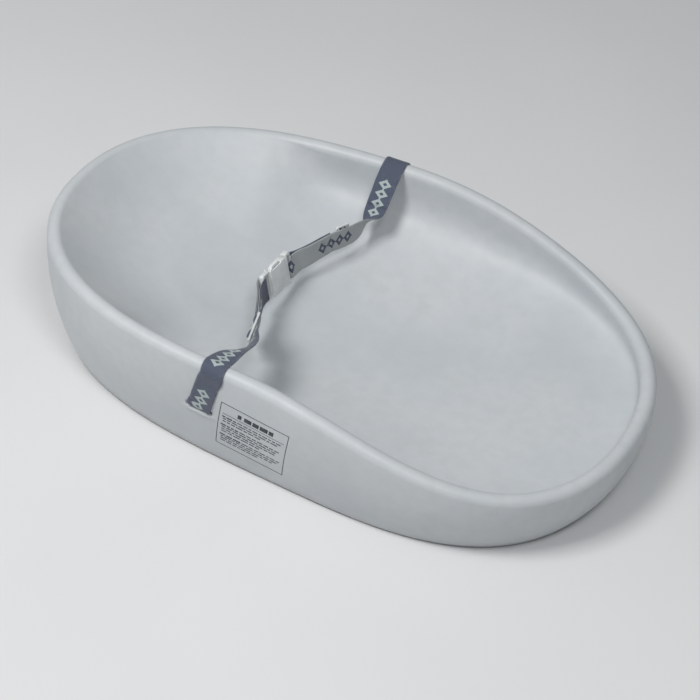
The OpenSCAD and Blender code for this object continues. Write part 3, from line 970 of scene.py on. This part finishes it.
def plate(name, outline, holes, z0, z1, materials, bevel, shape=None):
    """A moulded plate: an outline with holes, z0 to z1 thick, edges rounded by bevel.

    shape, if given, moves each finished point to give the plate its crown.
    """
    bm = bmesh.new()
    edges = []
    for loop in [outline] + holes:
        ring = [bm.verts.new((x, y, z0)) for x, y in loop]
        edges += [bm.edges.new((ring[i], ring[(i + 1) % len(ring)])) for i in range(len(ring))]
    bmesh.ops.triangle_fill(bm, edges=edges, use_beauty=True)
    lower = list(bm.faces)
    raised = bmesh.ops.extrude_face_region(bm, geom=lower, use_keep_orig=True)
    moved = [g for g in raised["geom"] if isinstance(g, bmesh.types.BMVert)]
    bmesh.ops.translate(bm, verts=moved, vec=(0, 0, z1 - z0))
    bmesh.ops.recalc_face_normals(bm, faces=bm.faces)
    bmesh.ops.scale(bm, vec=(MM, MM, MM), verts=bm.verts)
    mesh = bpy.data.meshes.new(name)
    bm.to_mesh(mesh)
    bm.free()
    for material in materials:
        mesh.materials.append(material)
    mesh.shade_smooth()
    made = bpy.data.objects.new(name, mesh)
    bpy.context.scene.collection.objects.link(made)
    bevelled(made, bevel)
    if shape:
        for vert in made.data.vertices:
            vert.co = shape(vert.co / MM) * MM
    return made


def placed(obj, matrix):
    """Moves obj's mesh by a matrix in millimetres, and leaves the object at the origin."""
    scaled = matrix.copy()
    scaled.translation = matrix.translation * MM
    obj.data.transform(scaled)
    return obj


def crowned(p):
    """The buckle's faces swell towards the middle of their width and thin towards the mouth."""
    lift = 0.55 * (1 - (p.x / 17) ** 2) - 0.25 * smoothstep((p.y - 12) / 8)
    return Vector((p.x, p.y, p.z + math.copysign(max(-0.3, lift), p.z) * (abs(p.z) > 3.6)))


def housing_outline():
    """Half of the face plate's edge: wide at the mouth and the root, narrow along the windows."""
    right = [(8, -15), (15.6, -15), (17, -13.8), (17, -12.6), (16.4, -12), (15.7, -11.2), (15.4, -9.6)]
    right += [(15.4, 6.5), (15.6, 8.4), (16.3, 9.3), (17, 10.2), (17, 17.6)]
    right += arc(14.6, 17.6, 2.4, 15, 90, 5)
    right += [(8, 20.2), (4, 19.5), (0, 19.2)]
    return right + [(-x, y) for x, y in reversed(right[:-1])]


def make_housing(material):
    wall_x = 17 - PLASTIC_WALL / 2
    pieces = [
        plate("face", housing_outline(), [], z, z + PLASTIC_WALL, [material], 0.5, crowned)
        for z in (INSIDE, -HALF_THICK)
    ]
    for x in (-wall_x, wall_x):
        side = [(x + sx * PLASTIC_WALL / 2, y) for sx, y in ((-1, 10.6), (1, 10.6), (1, 18.6), (-1, 18.6))]
        pieces.append(plate("side", side, [], -INSIDE - 0.4, INSIDE + 0.4, [material], 0.25))
    root = [(-16, -14.4), (16, -14.4), (16, -12.5), (-16, -12.5)]
    pieces.append(plate("root", root, [], -INSIDE - 0.3, INSIDE + 0.3, [material], 0.2))
    opening = rounded(SLOT_WIDTH, -25, -17.5, 1.6)[::-1]
    pieces.append(plate("frame", rounded(34, -30, -13, 3.2), [opening], -INSIDE, INSIDE, [material], 0.9))
    for x in (-9, -6, -3, 0, 3, 6, 9):
        for z in (HALF_THICK + 0.25, -HALF_THICK - 0.25):
            rib = rounded(1.1, -12.5, -9.0, 0.5, 3)
            rib = [(x + px, py) for px, py in rib]
            grip = 0.42 * (1 - (x / 17) ** 2)
            low, high = sorted((z - math.copysign(0.5, z), z + math.copysign(grip, z)))
            pieces.append(plate("rib", rib, [], low, high, [material], 0.2))
    return placed(joined("housing_shell", pieces), buckle_matrix())


def make_tongue(material):
    guide = [(-2.4, -6), (2.4, -6), (3, -4.6), (3, 22.5), (-3, 22.5), (-3, -4.6)]
    pieces = [plate("guide", guide, [], -INSIDE + LAYER_GAP, INSIDE - LAYER_GAP, [material], 0.4)]
    slot = rounded(SLOT_WIDTH, 25, 29, 1.4)[::-1]
    edge = rounded(39, 22, 32, 2.6)
    pieces.append(plate("bar", edge, [slot], -HALF_THICK + 0.6, HALF_THICK - 0.6, [material], 1.1))
    return placed(joined("tongue_frame", pieces), buckle_matrix())


def make_prong(name, material, side):
    """A sprung arm with a grip wing; small ribs run down the wing's outer edge."""
    edge = [(10.3, -8), (11.2, -9.6), (12.6, -10.5), (15.2, -9.9), (17.4, -7.6), (18.6, -5.2)]
    ribs = 8
    for i in range(ribs):
        y = -4.4 + 9.6 * i / ribs
        edge += [(19.0, y), (19.0, y + 0.55), (18.35, y + 0.85), (18.35, y + 1.1)]
    edge += [(19.0, 5.5), (18.2, 7.4), (16.8, 8.4), (13.7, 8.4), (13.7, 21.7), (10.3, 21.7)]
    if side < 0:
        edge = [(-x, y) for x, y in reversed(edge)]
    return placed(plate(name, edge, [], -2.2, 2.2, [material], 0.35), buckle_matrix())


def make_slider(name, slider, material):
    """A slide adjuster: two slots with a middle bar, and end bars thickened at their outer edges."""
    half = SLIDER_THICKNESS / 2
    slots = [rounded(SLOT_WIDTH, y0, y0 + 5, 1.2)[::-1] for y0 in (1.5, -6.5)]
    edge = rounded(SLIDER_WIDTH, -SLIDER_LENGTH / 2, SLIDER_LENGTH / 2, 3.4)
    made = plate(name, edge, slots, -half, half, [material], 0.7)
    return placed(made, adjuster_matrix(*slider))


# ---------------------------------------------------------------- the build

make_camera()
make_light()

foam = foam_material()
navy_face = webbing_material("webbing_navy_face", (0.088, 0.104, 0.150, 1), (0.40, 0.46, 0.46, 1))
grey_face = webbing_material("webbing_grey_face", (0.42, 0.44, 0.45, 1), (0.07, 0.085, 0.13, 1))
white_plastic = plastic_material("acetal_white", (0.74, 0.755, 0.755, 1), 0.34)
adjuster_plastic = plastic_material("acetal_adjuster", (0.72, 0.735, 0.735, 1), 0.38)
thread = thread_material()
ink = ink_material()

pad = make_tub(foam)
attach(pad, "pad")
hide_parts("foam_tub")

label = make_label(ink)
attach(label, "pad")
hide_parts("printed_panel")

near_path = Path(near_route())
near_web = make_web("near_webbing", near_path, [grey_face, navy_face], NEAR_PATTERN)
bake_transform(near_web)
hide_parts("near_strap_wall", "near_strap_span", "near_strap_loop")

far_path = Path(far_route())
split = next(i for i, c in enumerate(far_path.centre) if c.y < SPLIT_Y)
far_faces = [navy_face, grey_face]
far_rim_web = make_web("far_webbing_rim", far_path.part(0, split), far_faces, FAR_PATTERN)
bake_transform(far_rim_web)
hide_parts("far_strap_wall")

far_rest = far_path.part(split, len(far_path.centre) - 1)
far_web = make_web("far_webbing", far_rest, far_faces, FAR_PATTERN)
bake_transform(far_web)
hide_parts("far_strap_span", "far_strap_loop")

near_hump = make_hump("near_adjuster_webbing", NEAR_SLIDER, [grey_face, navy_face])
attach(near_hump, "near_adjuster")
far_hump = make_hump("far_adjuster_webbing", FAR_SLIDER, [navy_face, grey_face])
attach(far_hump, "far_adjuster")

near_stitching = make_stitching("near_stitching", NEAR_LOOP, thread, 1.5, 13)
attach(near_stitching, "strap")
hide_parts("near_loop_stitch")
far_stitching = make_stitching("far_stitching", FAR_LOOP, thread, 1.5, 13)
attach(far_stitching, "tongue")
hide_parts("far_loop_stitch")

MOULDED = [
    (make_housing(white_plastic), "strap", "buckle_housing"),
    (make_tongue(white_plastic), "tongue", "buckle_tongue"),
    (make_prong("left_grip", white_plastic, -1), "left_arm", "left_prong"),
    (make_prong("right_grip", white_plastic, 1), "right_arm", "right_prong"),
    (make_slider("near_adjuster_frame", NEAR_SLIDER, adjuster_plastic), "near_adjuster", "near_slider"),
    (make_slider("far_adjuster_frame", FAR_SLIDER, adjuster_plastic), "far_adjuster", "far_slider"),
]
for piece, body, node in MOULDED:
    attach(piece, body)
    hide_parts(node)

for name, material in (
    ("near_anchor_bar", adjuster_plastic),
    ("far_anchor_bar", adjuster_plastic),
    ("near_anchor_stitch", thread),
    ("far_anchor_stitch", thread),
):
    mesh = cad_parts[name].data
    mesh.materials.clear()
    mesh.materials.append(material)

corners = [(x * FLOOR_HALF, y * FLOOR_HALF, 0) for x, y in ((-1, -1), (1, -1), (1, 1), (-1, 1))]
floor = new_object("studio_floor", corners, [(0, 1, 2, 3)], [floor_material()])
